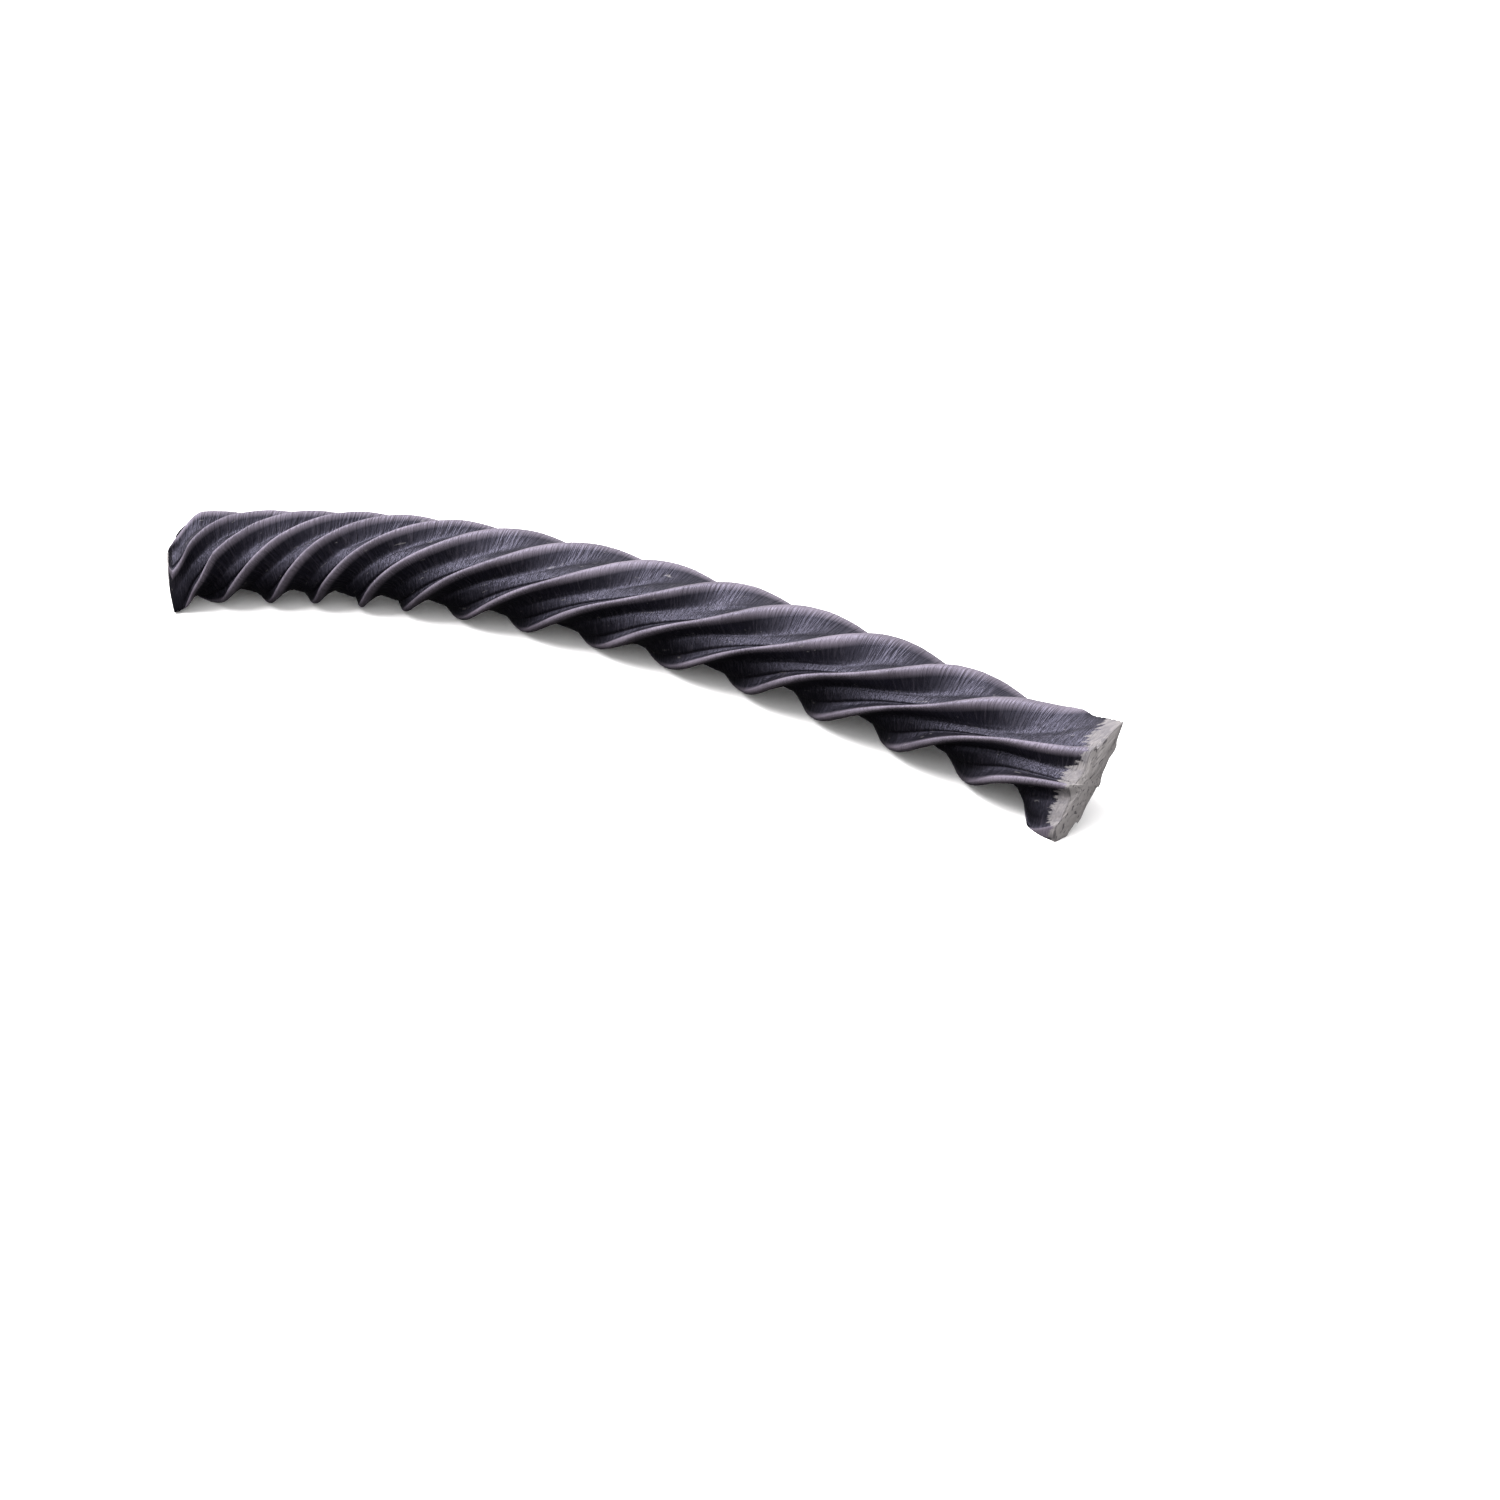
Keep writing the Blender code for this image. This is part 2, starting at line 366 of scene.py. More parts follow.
def path_rings():
    """One row of values for each ring of the skin, from the middle of one cut face to that of the other."""
    places, axis, headings, turns = centre_line()
    end = places[-1]
    count = round(end / RING_STEP)
    ring_places = np.concatenate(
        [np.zeros(len(CAP_RINGS)), np.linspace(0.0, end, count + 1), np.full(len(CAP_RINGS), end)]
    )
    shrink = np.concatenate([CAP_RINGS[::-1], np.ones(count + 1), CAP_RINGS])
    heading = np.interp(ring_places, places, headings)
    along = np.column_stack([np.cos(heading), -np.sin(heading), np.zeros(len(heading))])
    swell = np.where(ring_places < end / 2, -LEFT_SQUEEZE["bulge"], RIGHT_SQUEEZE["bulge"])
    centre = np.column_stack([np.interp(ring_places, places, axis[:, column]) for column in range(3)])
    centre = centre + along * (swell * (1.0 - shrink**2))[:, None]
    return {
        "centre": centre,
        "place": ring_places,
        "shrink": shrink,
        "heading": heading,
        "turn": np.interp(ring_places, places, turns),
        "crest_radius": at(CREST_RADIUS, ring_places),
        "lean": at(LEAN, ring_places),
        "crowding": at(CROWDING, ring_places),
        "flattening": at(FLATTENING, ring_places),
        "top_turn": at(TOP_TURN, ring_places),
        "deepening": at(DEEPENING, ring_places),
        "left": smooth_step(1.0 - ring_places / LEFT_SQUEEZE["reach"]),
        "right": smooth_step(1.0 - (end - ring_places) / RIGHT_SQUEEZE["reach"]),
    }


def path_object():
    """The path that the skin is grown on: a chain of points, each with the values of its ring."""
    rings = path_rings()
    centre = rings.pop("centre")
    mesh = bpy.data.meshes.new("twist_path")
    chain = [(index, index + 1) for index in range(len(centre) - 1)]
    mesh.from_pydata([tuple(point * MM) for point in centre], chain, [])
    for name, values in rings.items():
        attribute = mesh.attributes.new(name, "FLOAT", "POINT")
        attribute.data.foreach_set("value", values.astype(np.float32))
    kept = mesh.attributes.new("centre", "FLOAT_VECTOR", "POINT")
    kept.data.foreach_set("vector", centre.astype(np.float32).ravel())
    path = bpy.data.objects.new("twist_path", mesh)
    bpy.context.scene.collection.objects.link(path)
    return path


def fin_change(fin, place, seed):
    """A slow wave between -1 and 1 along one fin, so that no two fins are alike."""
    phase = fin * FIN_PHASE + SEED_PHASE * seed
    wave = place * (2.0 * math.pi / CHANGE_WAVELENGTH)
    long_wave = (wave + phase).sine()
    short_wave = (wave * SHORT_WAVES_PER_LONG + phase * SHORT_PHASE).sine()
    return long_wave * LONG_WAVE_SHARE + short_wave * (1.0 - LONG_WAVE_SHARE)


def squeezed(angles, radii, radius, squeeze, amount, drawn_in):
    """Up and front offsets of a ring of points, pressed towards a lens whose corners lie on the cut."""
    around = (angles - squeeze["tip_angle"]).radians().wrapped(-math.pi, math.pi)
    upper = around.below(0.0)
    fill = around.cosine().absolute().power(CORNER_FILL_POWER) * squeeze["corner_fill"]
    fill = fill.most(around.sine() * squeeze["lower_fill"])
    radii = 1.0 - (1.0 - radii) * (1.0 - fill * amount)
    round_wide = radius * radii * around.cosine()
    round_thick = radius * radii * around.sine()
    run = 1.0 - around.absolute() * (2.0 / math.pi)
    side = squeeze["lower_thickness"] - upper * (squeeze["lower_thickness"] + squeeze["upper_thickness"])
    relief = (1.0 - radii) * squeeze["relief"]
    flat_wide = (1.0 - relief) * run * squeeze["half_width"]
    inward = relief * radius * (1.0 - upper * 2.0)
    flat_thick = (side - inward) * (1.0 - run * run) + run * run * squeeze["corner_drop"]
    wide = round_wide.mixed(flat_wide, amount)
    thick = round_thick.mixed(flat_thick, amount)
    wide = wide * (1.0 - wide.below(0.0) * drawn_in)
    tip = math.radians(squeeze["tip_angle"])
    up = wide * math.cos(tip) - thick * math.sin(tip) + amount * squeeze["rise"]
    front = wide * math.sin(tip) + thick * math.cos(tip)
    return up, front


def grow_skin_tree():
    """Builds the node tree: a tube on the path, whose points are then moved by the rule of the fins."""
    skin = SkinTree("Licorice Skin")
    fins = skin.setting("Fins")
    points = skin.setting("Points Round", "NodeSocketInt")
    fin_depth = skin.setting("Fin Depth")
    crest_half = skin.setting("Crest Half Width")
    lower_end = skin.setting("Lower Flank End")
    upper_end = skin.setting("Upper Flank End")
    fin_tilt = skin.setting("Fin Tilt")
    crease_depth = skin.setting("Crease Depth")
    crease_half = skin.setting("Crease Half Width")
    valley_rise = skin.setting("Valley Rise")
    crest_round = skin.setting("Crest Round")
    width_change = skin.setting("Fin Width Change")
    depth_change = skin.setting("Fin Depth Change")
    fin_shift = skin.setting("Fin Shift")
    lump = skin.setting("Lump Height")
    nick = skin.setting("Nick Height")

    circle = skin.node("GeometryNodeCurvePrimitiveCircle", mode="RADIUS")
    skin.link(points.socket, circle.inputs["Resolution"])
    index = skin.node("GeometryNodeInputIndex")
    profile = skin.stored(circle.outputs["Curve"], "step_round", index.outputs[0])
    rail = skin.node("GeometryNodeMeshToCurve")
    skin.link(skin.inlet.outputs["Path"], rail.inputs[0])
    tube = skin.node("GeometryNodeCurveToMesh")
    skin.link(rail.outputs[0], tube.inputs["Curve"])
    skin.link(profile, tube.inputs["Profile Curve"])

    place = skin.named("place")
    radius = skin.named("crest_radius")
    heading = skin.named("heading")
    shrink = skin.named("shrink")

    # Which fin a point is on, and how far round from the middle of its crest, in degrees.
    pitch = 360.0 / fins
    counted = skin.named("step_round") / (points / fins)
    fin = counted.floor()
    share = counted - fin - 0.5
    dense = share - (share * (2.0 * math.pi)).sine() * (DENSE_SHARE / (2.0 * math.pi))
    offset = dense * pitch + DENSE_OFFSET
    width = 1.0 + fin_change(fin, place, 2) * width_change
    depth = fin_depth * skin.named("deepening") * (1.0 + fin_change(fin, place, 1) * depth_change)
    upper_side = offset.below(0.0)
    flank_end = lower_end.mixed(upper_end, upper_side)
    reach = offset.absolute() / width
    flank = ((reach - crest_half) / (flank_end - crest_half)).most(0.0).least(1.0)
    crest = (1.0 - flank).power(FLANK_POWER)
    crease = offset.hump(-upper_end - crease_half * 0.5, crease_half)
    valley_run = (offset.wrapped(0.0, pitch) - lower_end) / (pitch - lower_end - upper_end)
    valley_run = valley_run.most(0.0).least(1.0)
    dip = (offset.absolute() / crest_half).least(1.0).power(2.0)
    straight_angle = (fin * pitch + offset).radians()
    straight = skin.vector(straight_angle.cosine() * radius, straight_angle.sine() * radius, place)
    rough_crest = skin.noise(straight, NICK_SCALE, 3.0) * nick * crest
    radii = 1.0 - depth * (1.0 - crest) + valley_rise * valley_run * (1.0 - crest)
    radii = radii - crease * crease_depth / radius - (dip * crest_round - rough_crest) / radius
    middleness = 1.0 - (offset - DENSE_OFFSET).absolute() * 2.0 / pitch
    angles = fin * pitch + offset + fin_shift * fin_change(fin, place, 3) * middleness - fin_tilt * crest
    angles = angles + FIRST_RIDGE_ANGLE - skin.named("turn")
    crowding = ((angles - BROAD_ANGLE).radians() * 2.0).sine()
    angles = angles - skin.named("crowding") * crowding
    topness = (angles - TOP_ANGLE).radians().cosine().most(0.0)
    angles = angles - skin.named("top_turn") * topness * topness

    nearness = (1.0 - place / SHOULDER_REACH).most(0.0)
    drawn_in = (1.0 - (1.0 - nearness.power(SHOULDER_POWER)).most(0.0).power(0.5)) * SHOULDER_DROP
    left_up, left_front = squeezed(angles, radii, radius, LEFT_SQUEEZE, skin.named("left"), drawn_in)
    right_up, right_front = squeezed(angles, radii, radius, RIGHT_SQUEEZE, skin.named("right"), drawn_in)
    right_half = 1.0 - place.below(LENGTH / 2.0)
    up = left_up.mixed(right_up, right_half)
    front = left_front.mixed(right_front, right_half)

    # A little flat on the broad sides, and leaning back along the bar there.
    broad = math.radians(BROAD_ANGLE)
    outward = up * math.cos(broad) + front * math.sin(broad)
    flat = skin.named("flattening") * outward
    lumps = 1.0 + skin.noise(straight, LUMP_SCALE) * lump / radius
    up = (up - flat * math.cos(broad)) * lumps
    front = (front - flat * math.sin(broad)) * lumps
    back = skin.named("lean") * outward / radius
    split = skin.node("ShaderNodeSeparateXYZ")
    skin.link(skin.named("centre", "FLOAT_VECTOR").socket, split.inputs[0])
    centre_x, centre_y, centre_z = [Rule(skin.tree, split.outputs[axis]) for axis in range(3)]
    x = centre_x - (heading.sine() * front + heading.cosine() * back) * shrink
    y = centre_y - (heading.cosine() * front - heading.sine() * back) * shrink
    z = centre_z + ((centre_z + up).most(0.0) - centre_z) * shrink

    moved = skin.node("GeometryNodeSetPosition")
    skin.link(tube.outputs["Mesh"], moved.inputs["Geometry"])
    skin.link(skin.vector(x * MM, y * MM, z * MM), moved.inputs["Position"])
    inner = radius * shrink
    pattern = skin.vector(straight_angle.cosine() * inner, straight_angle.sine() * inner, place)
    geometry = skin.stored(moved.outputs["Geometry"], "straight", pattern, "FLOAT_VECTOR")
    geometry = skin.stored(geometry, "crest", crest.socket)
    geometry = skin.stored(geometry, "crease", crease.socket)
    merged = skin.node("GeometryNodeMergeByDistance")
    skin.link(geometry, merged.inputs["Geometry"])
    merged.inputs["Distance"].default_value = POLE_MERGE
    real = skin.node("GeometryNodeRealizeInstances")
    skin.link(merged.outputs["Geometry"], real.inputs["Geometry"])
    paint = skin.node("GeometryNodeSetMaterial")
    skin.link(real.outputs["Geometry"], paint.inputs["Geometry"])
    paint.inputs["Material"].default_value = bpy.data.materials["licorice"]
    skin.link(paint.outputs["Geometry"], skin.outlet.inputs["Skin"])
    return skin


class ShaderPaint:
    """Short names for the shader nodes that a material is built from."""

    def __init__(self, name):
        self.material = bpy.data.materials.new(name)
        self.material.use_nodes = True
        self.tree = self.material.node_tree
        self.shader = self.tree.nodes["Principled BSDF"]

    def node(self, kind, **values):
        node = self.tree.nodes.new(kind)
        for key, value in values.items():
            setattr(node, key, value)
        return node

    def link(self, source, target):
        self.tree.links.new(source, target)

    def attribute(self, name):
        return self.node("ShaderNodeAttribute", attribute_name=name)

    def stretched(self, vector, scale):
        """The vector with its axes stretched, so that a pattern gets longer one way."""
        node = self.node("ShaderNodeMapping")
        node.inputs["Scale"].default_value = scale
        self.link(vector, node.inputs["Vector"])
        return node.outputs[0]

    def noise(self, vector, scale, detail, roughness=0.5):
        node = self.node("ShaderNodeTexNoise")
        node.inputs["Scale"].default_value = scale
        node.inputs["Detail"].default_value = detail
        node.inputs["Roughness"].default_value = roughness
        self.link(vector, node.inputs["Vector"])
        return node.outputs[0]

    def ranged(self, value, low, high, to_low, to_high):
        """The value carried from one range to another, held at its ends."""
        node = self.node("ShaderNodeMapRange")
        for socket, number in zip(list(node.inputs)[1:5], (low, high, to_low, to_high)):
            socket.default_value = number
        self.link(value, node.inputs["Value"])
        return node.outputs[0]

    def maths(self, operation, first, second):
        node = self.node("ShaderNodeMath", operation=operation)
        for place, value in enumerate((first, second)):
            if isinstance(value, (int, float)):
                node.inputs[place].default_value = value
            else:
                self.link(value, node.inputs[place])
        return node.outputs[0]

    def mixed(self, share, first, second):
        """A colour between two others. Each is a colour or a socket."""
        node = self.node("ShaderNodeMix", data_type="RGBA")
        self.link(share, node.inputs["Factor"])
        for place, value in ((6, first), (7, second)):
            if isinstance(value, bpy.types.NodeSocket):
                self.link(value, node.inputs[place])
            else:
                node.inputs[place].default_value = value
        return node.outputs[2]

    def bump(self, height, distance, strength, under=None):
        node = self.node("ShaderNodeBump")
        node.inputs["Distance"].default_value = distance
        node.inputs["Strength"].default_value = strength
        self.link(height, node.inputs["Height"])
        if under is not None:
            self.link(under, node.inputs["Normal"])
        return node.outputs[0]


def licorice_material(settings):
    """Satin black candy: crests paler from rubbing and as a painted highlight; fine marks across the fins; a
    pale matte cut.
    """
    paint = ShaderPaint("licorice")
    shader = paint.shader
    straight = paint.attribute("straight").outputs["Vector"]
    crest = paint.attribute("crest").outputs["Fac"]
    crease = paint.attribute("crease").outputs["Fac"]
    cut = paint.attribute("cut").outputs["Fac"]
    face = paint.attribute("face").outputs["Fac"]
    black = (*settings.black, 1.0)
    rubbed_and_highlight = (*settings.rubbed_and_highlight, 1.0)
    pale = (*settings.cut_pale, 1.0)
    grey = (*settings.cut_grey, 1.0)
    face_pale = (*settings.face_pale, 1.0)

    # Marks that the die and the pull left: short ones across the fins, long faint ones along them.
    marks = paint.noise(paint.stretched(straight, MARK_STRETCH), 1.0, 2.0, 0.6)
    draws = paint.noise(paint.stretched(straight, DRAW_STRETCH), 1.0, 2.0)
    grain = paint.noise(straight, GRAIN_SCALE, 3.0, 0.6)
    patches = paint.noise(straight, PATCH_SCALE, 2.0)

    # Crest tops turn paler: partly candy paled by rubbing, partly a painted highlight along each crest.
    top = paint.ranged(crest, 0.65, 1.0, 0.0, 1.0)
    worn_and_highlight = paint.maths("MULTIPLY", top, paint.ranged(patches, 0.35, 0.65, 0.6, 1.0))
    dusted = paint.mixed(paint.ranged(marks, 0.5, 0.75, 0.0, 0.12), black, rubbed_and_highlight)
    skin_colour = paint.mixed(worn_and_highlight, dusted, rubbed_and_highlight)
    ragged = paint.noise(paint.stretched(straight, RAGGED_STRETCH), 1.0, 3.0, 0.7)
    edge = paint.maths("ADD", cut, paint.ranged(ragged, 0.3, 0.7, -0.5, 0.5))
    cut_share = paint.ranged(edge, 0.42, 0.58, 0.0, 1.0)
    torn = paint.ranged(paint.noise(straight, TORN_SCALE, 4.0, 0.6), 0.35, 0.65, 0.0, 1.0)
    pits = paint.ranged(paint.noise(straight, PIT_SCALE, 1.0), 0.34, 0.38, 1.0, 0.0)
    cut_colour = paint.mixed(pits, paint.mixed(face, paint.mixed(torn, grey, pale), face_pale), grey)
    paint.link(paint.mixed(cut_share, skin_colour, cut_colour), shader.inputs["Base Color"])

    skin_rough = paint.ranged(patches, 0.3, 0.7, settings.roughness - 0.06, settings.roughness + 0.08)
    rough = paint.maths("ADD", skin_rough, paint.maths("MULTIPLY", crease, 0.2))
    rough = paint.maths("MAXIMUM", rough, paint.maths("MULTIPLY", cut_share, 0.8))
    paint.link(rough, shader.inputs["Roughness"])

    first = paint.bump(marks, MARK_HEIGHT, settings.mark_strength)
    second = paint.bump(draws, DRAW_HEIGHT, 0.35, first)
    third = paint.bump(grain, GRAIN_HEIGHT, 0.5, second)
    paint.link(third, shader.inputs["Normal"])
    shader.inputs["Specular Tint"].default_value = SPECULAR_TINT
    return paint.material


def add_cut_attribute(mesh):
    """Marks the points of both cuts and of their flat faces, so that the material can turn pale there."""
    shrink, place, crest = (np.zeros(len(mesh.vertices), np.float32) for _ in range(3))
    for name, values in (("shrink", shrink), ("place", place), ("crest", crest)):
        mesh.attributes[name].data.foreach_get("value", values)
    left = smooth_step((LEFT_CUT_EDGE - shrink) / CUT_FADE)
    reach = RIGHT_CUT_REACH * (1.0 - (1.0 - RIGHT_CUT_CREST_SHARE) * crest)
    right = np.clip((reach - (LENGTH - place)) / RIGHT_CUT_FADE + 0.5, 0.0, 1.0)
    face = mesh.attributes.new("face", "FLOAT", "POINT")
    face.data.foreach_set("value", smooth_step((1.0 - shrink) / FACE_FADE).astype(np.float32))
    cut = mesh.attributes.new("cut", "FLOAT", "POINT")
    cut.data.foreach_set("value", np.where(place < LENGTH / 2.0, left, right).astype(np.float32))


def closed_skin(path):
    """The plain mesh that the node tree makes, set on the solid's middle and kept inside its box."""
    graph = bpy.context.evaluated_depsgraph_get()
    mesh = bpy.data.meshes.new_from_object(path.evaluated_get(graph), depsgraph=graph)
    add_cut_attribute(mesh)
    for name in ("place", "shrink", "heading", "turn", "crest_radius", "lean", "crowding", "flattening"):
        mesh.attributes.remove(mesh.attributes[name])
    for name in ("top_turn", "deepening", "left", "right", "centre", "step_round"):
        mesh.attributes.remove(mesh.attributes[name])
    form = bmesh.new()
    form.from_mesh(mesh)
    bmesh.ops.recalc_face_normals(form, faces=form.faces)
    low = np.min([vertex.co for vertex in form.verts], axis=0)
    high = np.max([vertex.co for vertex in form.verts], axis=0)
    solid_low, solid_high = np.array(SOLID_LOW), np.array(SOLID_HIGH)
    base = np.array([*(low + high)[:2] / 2.0, low[2]])
    solid_base = np.array([*(solid_low + solid_high)[:2] / 2.0, solid_low[2]])
    fit = np.minimum(1.0, (solid_high - solid_low) / (high - low))
    bmesh.ops.translate(form, verts=form.verts, vec=tuple(-base))
    bmesh.ops.scale(form, verts=form.verts, vec=tuple(fit))
    bmesh.ops.translate(form, verts=form.verts, vec=tuple(solid_base))
    form.to_mesh(mesh)
    form.free()
    mesh.shade_smooth()
    return mesh


class TwistSettings(bpy.types.PropertyGroup):
    """Sizes and colours of the twist."""

    fins: IntProperty(name="Fins", description="Number of fins round the bar", default=FINS, min=3, max=12)
    fin_depth: FloatProperty(
        name="Fin Depth",
        description="Depth of the valleys as a share of the bar's radius",
        default=0.27,
        subtype="FACTOR",
    )
    crest_half: FloatProperty(
        name="Crest Half Width",
        description="Half the width of a fin's crest",
        default=math.radians(4.2),
        subtype="ANGLE",
    )
    lower_end: FloatProperty(
        name="Lower Flank End",
        description="Where the long lower flank of a fin meets the valley",
        default=math.radians(23.0),
        subtype="ANGLE",
    )
    upper_end: FloatProperty(
        name="Upper Flank End",
        description="Where the steep upper flank of a fin meets the valley",
        default=math.radians(9.5),
        subtype="ANGLE",
    )
    fin_tilt: FloatProperty(
        name="Fin Tilt",
        description="How far the crests lean over their upper flanks",
        default=math.radians(2.5),
        subtype="ANGLE",
    )
    crease_depth: FloatProperty(
        name="Crease Depth",
        description="Depth of the crease at the foot of the upper flank",
        default=0.00035,
        unit="LENGTH",
        precision=5,
    )
    crease_half: FloatProperty(
        name="Crease Half Width",
        description="Half the width of that crease",
        default=math.radians(3.0),
        subtype="ANGLE",
    )
    crest_round: FloatProperty(
        name="Crest Round",
        description="How far the edges of a crest fall away from its middle",
        default=0.00028,
        unit="LENGTH",
        precision=5,
    )
    valley_rise: FloatProperty(
        name="Valley Rise",
        description="How far the valley rises towards the next fin, as a share of the radius",
        default=0.11,
        subtype="FACTOR",
    )
    lump: FloatProperty(
        name="Lump Height",
        description="Height of the soft unevenness along the bar",
        default=0.0002,
        unit="LENGTH",
        precision=5,
    )
    nick: FloatProperty(
        name="Nick Height",
        description="Height of the small unevenness along the crests",
        default=0.0001,
        unit="LENGTH",
        precision=5,
    )
    black: FloatVectorProperty(
        name="Black", description="Colour of the candy", default=(0.003, 0.0028, 0.0045), subtype="COLOR"
    )
    # The pale crest colour: candy paled by rubbing, and a painted highlight on the crests.
    rubbed_and_highlight: FloatVectorProperty(
        name="Rubbed",
        description="Colour of the rubbed crests",
        default=(0.145, 0.125, 0.155),
        subtype="COLOR",
    )
    cut_pale: FloatVectorProperty(
        name="Cut Pale",
        description="Lighter colour of the skin that the cut has torn",
        default=(0.20, 0.185, 0.182),
        subtype="COLOR",
    )
    cut_grey: FloatVectorProperty(
        name="Cut Grey",
        description="Darker colour of the skin that the cut has torn",
        default=(0.13, 0.122, 0.124),
        subtype="COLOR",
    )
    face_pale: FloatVectorProperty(
        name="Face Pale",
        description="Colour of a cut's flat face",
        default=(0.38, 0.355, 0.35),
        subtype="COLOR",
    )
    roughness: FloatProperty(
        name="Roughness", description="How matte the skin is", default=0.42, subtype="FACTOR"
    )
    mark_strength: FloatProperty(
        name="Mark Strength",
        description="Strength of the marks across the fins",
        default=0.8,
        subtype="FACTOR",
    )


class TableSettings(bpy.types.PropertyGroup):
    """The table and the light over it."""

    table_size: FloatProperty(
        name="Table Size", description="Side of the table top", default=8.0, unit="LENGTH"
    )
    table_colour: FloatVectorProperty(
        name="Table Colour",
        description="Colour of the table top",
        default=(0.95, 0.94, 0.94),
        subtype="COLOR",
    )
    lamp_height: FloatProperty(
        name="Lamp Height", description="Height of the soft lamp over the table", default=0.8, unit="LENGTH"
    )
    lamp_left: FloatProperty(
        name="Lamp Left", description="How far left of the twist the lamp hangs", default=0.35, unit="LENGTH"
    )
    lamp_size: FloatProperty(
        name="Lamp Size", description="Side of the soft lamp", default=0.6, unit="LENGTH"
    )
    lamp_power: FloatProperty(
        name="Lamp Power", description="Power of the soft lamp", default=18.0, unit="POWER"
    )
    sky: FloatProperty(
        name="Sky", description="Brightness of the white room round the table", default=1.7
    )


class LICORICE_OT_make_twist(bpy.types.Operator):
    """Grow the finned skin of the twist over its solid"""

    bl_idname = "licorice.make_twist"
    bl_label = "Make Twist"

    def execute(self, context):
        settings = context.scene.licorice_twist
        material = licorice_material(settings)
        skin = grow_skin_tree()
        path = path_object()
        modifier = path.modifiers.new("Skin", "NODES")
        modifier.node_group = skin.tree
        values = {
            "Fins": float(settings.fins),
            "Points Round": settings.fins * POINTS_PER_FIN,
            "Fin Depth": settings.fin_depth,
            "Crest Half Width": math.degrees(settings.crest_half),
            "Lower Flank End": math.degrees(settings.lower_end),
            "Upper Flank End": math.degrees(settings.upper_end),
            "Fin Tilt": math.degrees(settings.fin_tilt),
            "Crease Depth": settings.crease_depth / MM,
            "Crease Half Width": math.degrees(settings.crease_half),
            "Valley Rise": settings.valley_rise,
            "Crest Round": settings.crest_round / MM,
            "Fin Width Change": FIN_WIDTH_CHANGE,
            "Fin Depth Change": FIN_DEPTH_CHANGE,
            "Fin Shift": FIN_SHIFT,
            "Lump Height": settings.lump / MM,
            "Nick Height": settings.nick / MM,
        }
        for name, value in values.items():
            modifier[skin.identifiers[name]] = value
        mesh = closed_skin(path)
        bpy.data.objects.remove(path)
        if len(mesh.polygons) == 0:
            raise RuntimeError("the skin has no faces")
        mesh.name = "licorice_skin"
        mesh.materials.clear()
        mesh.materials.append(material)
        twist = bpy.data.objects.new("licorice_skin", mesh)
        context.scene.collection.objects.link(twist)
        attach(twist, "root")
        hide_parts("twist")
        return {"FINISHED"}


class LICORICE_OT_set_table(bpy.types.Operator):
    """Lay the table, hang the lamp and place the camera"""

    bl_idname = "licorice.set_table"
    bl_label = "Set Table"

    def execute(self, context):
        settings = context.scene.licorice_table
        set_table(settings)
        hang_lamp(settings)
        light_room(settings)
        place_camera()
        return {"FINISHED"}


def set_table(settings):
    """A plain pale table top under the twist."""
    half = settings.table_size / 2.0
    mesh = bpy.data.meshes.new("table")
    corners = [(-half, -half, 0.0), (half, -half, 0.0), (half, half, 0.0), (-half, half, 0.0)]
    mesh.from_pydata(corners, [], [(0, 1, 2, 3)])
    table = bpy.data.objects.new("table", mesh)
    bpy.context.scene.collection.objects.link(table)
    paint = ShaderPaint("table")
    paint.shader.inputs["Base Color"].default_value = (*settings.table_colour, 1.0)
    paint.shader.inputs["Roughness"].default_value = TABLE_ROUGHNESS
    mesh.materials.append(paint.material)
    table.visible_glossy = False
    table.visible_diffuse = False


def hang_lamp(settings):
    """One large soft lamp overhead, to the left of the twist and turned down at it."""
    light = bpy.data.lights.new("soft_lamp", "AREA")
    light.shape = "SQUARE"
    light.size = settings.lamp_size
    light.energy = settings.lamp_power
    lamp = bpy.data.objects.new("soft_lamp", light)
    lamp.location = (-settings.lamp_left, 0.0, settings.lamp_height)
    lamp.rotation_euler = (0.0, -math.atan2(settings.lamp_left, settings.lamp_height), 0.0)
    bpy.context.scene.collection.objects.link(lamp)


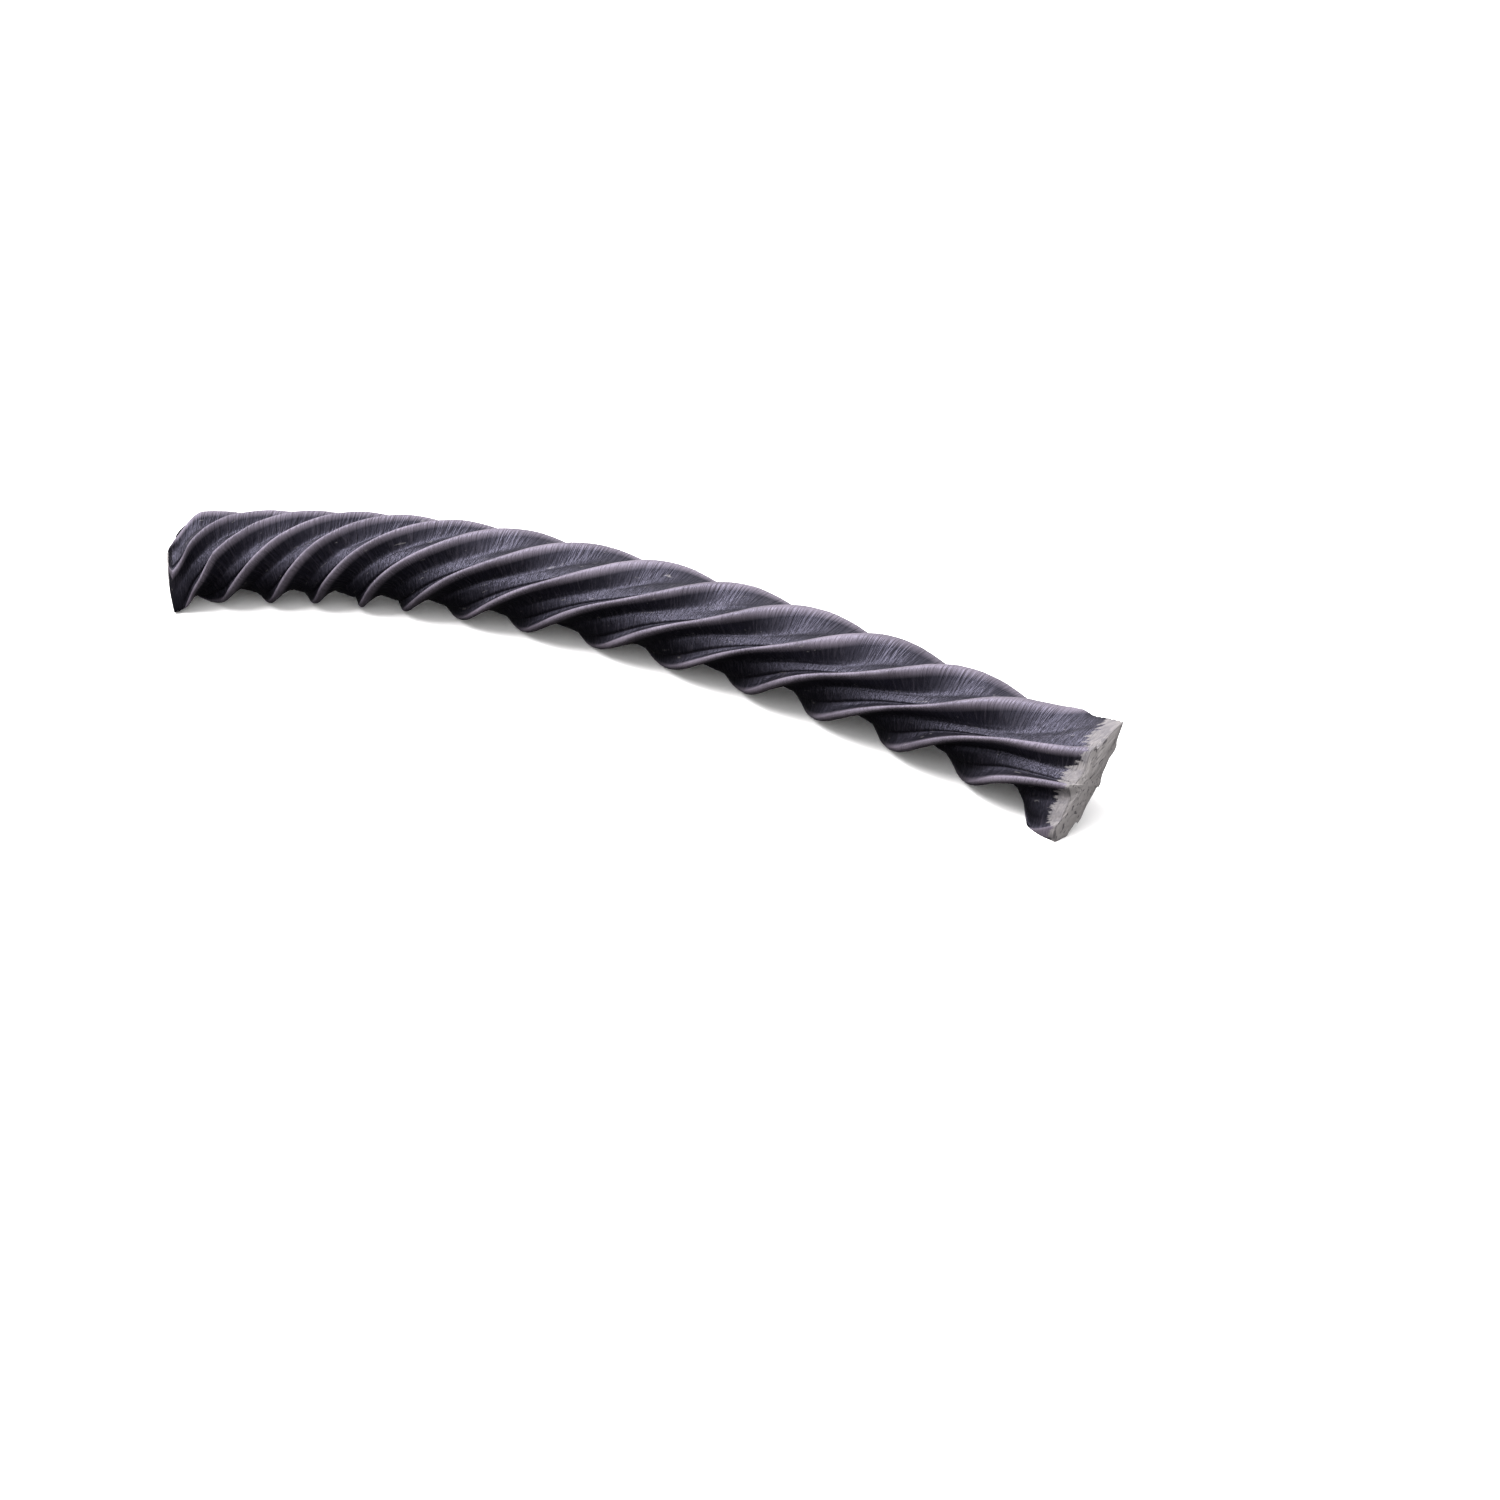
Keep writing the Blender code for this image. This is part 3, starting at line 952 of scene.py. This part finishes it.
def light_room(settings):
    """A white room that is dark under the table."""
    world = bpy.data.worlds.new("room")
    world.use_nodes = True
    tree = world.node_tree
    background = tree.nodes["Background"]
    place = tree.nodes.new("ShaderNodeTexCoord")
    split = tree.nodes.new("ShaderNodeSeparateXYZ")
    fade = tree.nodes.new("ShaderNodeMapRange")
    fade.inputs["From Min"].default_value = ROOM_DARK_LEVEL
    fade.inputs["From Max"].default_value = ROOM_WHITE_LEVEL
    fade.inputs["To Min"].default_value = ROOM_DARK
    fade.inputs["To Max"].default_value = settings.sky
    tree.links.new(place.outputs["Generated"], split.inputs[0])
    tree.links.new(split.outputs["Z"], fade.inputs["Value"])
    tree.links.new(fade.outputs[0], background.inputs["Strength"])
    background.inputs["Color"].default_value = (1.0, 1.0, 1.0, 1.0)
    bpy.context.scene.world = world
    bpy.context.scene.view_settings.view_transform = "Standard"


def place_camera():
    """The camera that sees the bar from the front and above."""
    view = bpy.data.cameras.new("camera")
    view.sensor_width = CAMERA_SENSOR
    view.lens = CAMERA_LENS
    view.clip_end = CAMERA_REACH
    camera = bpy.data.objects.new("camera", view)
    camera.location = CAMERA_PLACE
    camera.rotation_euler = (math.radians(90.0 - CAMERA_ELEVATION), 0.0, 0.0)
    bpy.context.scene.collection.objects.link(camera)
    bpy.context.scene.camera = camera


class LICORICE_PT_sidebar(bpy.types.Panel):
    """The sidebar list of what makes the twist"""

    bl_idname = "LICORICE_PT_sidebar"
    bl_label = "Licorice Twist"
    bl_space_type = "VIEW_3D"
    bl_region_type = "UI"
    bl_category = "Licorice"

    def draw(self, context):
        layout = self.layout
        for settings, operator in (
            (context.scene.licorice_twist, "licorice.make_twist"),
            (context.scene.licorice_table, "licorice.set_table"),
        ):
            box = layout.box()
            for name in settings.bl_rna.properties.keys():
                if name not in ("rna_type", "name"):
                    box.prop(settings, name)
            box.operator(operator)


CLASSES = (
    TwistSettings,
    TableSettings,
    LICORICE_OT_make_twist,
    LICORICE_OT_set_table,
    LICORICE_PT_sidebar,
)


def register():
    for entry in CLASSES:
        bpy.utils.register_class(entry)
    bpy.types.Scene.licorice_twist = PointerProperty(type=TwistSettings)
    bpy.types.Scene.licorice_table = PointerProperty(type=TableSettings)


def unregister():
    del bpy.types.Scene.licorice_table
    del bpy.types.Scene.licorice_twist
    for entry in reversed(CLASSES):
        bpy.utils.unregister_class(entry)


def main():
    register()
    bpy.ops.licorice.make_twist()
    bpy.ops.licorice.set_table()


if __name__ == "__main__":
    main()
